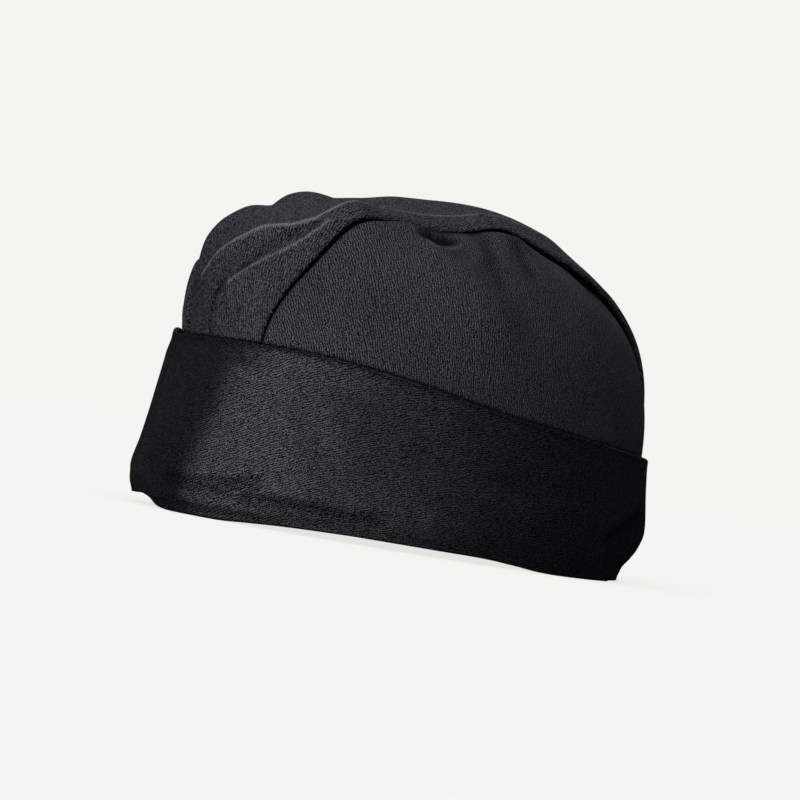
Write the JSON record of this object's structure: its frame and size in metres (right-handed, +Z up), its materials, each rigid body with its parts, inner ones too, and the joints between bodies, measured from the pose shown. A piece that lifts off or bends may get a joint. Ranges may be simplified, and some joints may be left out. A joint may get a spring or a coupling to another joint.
{
  "type": "chef skull cap",
  "caption": "Close-fitting cloth kitchen cap: a wide folded band, gathered at the back, under a low crown made of a puffed middle strip and two rounded side panels.",
  "frame": {"origin": "middle of the cap's outline on the plane it rests on", "axes": "+Z up, -Y towards the wearer's front, +X towards the wearer's left"},
  "size_m": [0.174, 0.208, 0.1333],
  "materials": {
    "band_cloth": "black cotton twill, folded double",
    "strip_cloth": "black cotton twill",
    "panel_cloth": "black cotton twill"
  },
  "bodies": {
    "root": {"band": "band_cloth", "top_strip": "strip_cloth", "left_side_panel": "panel_cloth", "right_side_panel": "panel_cloth"}
  },
  "joints": []
}
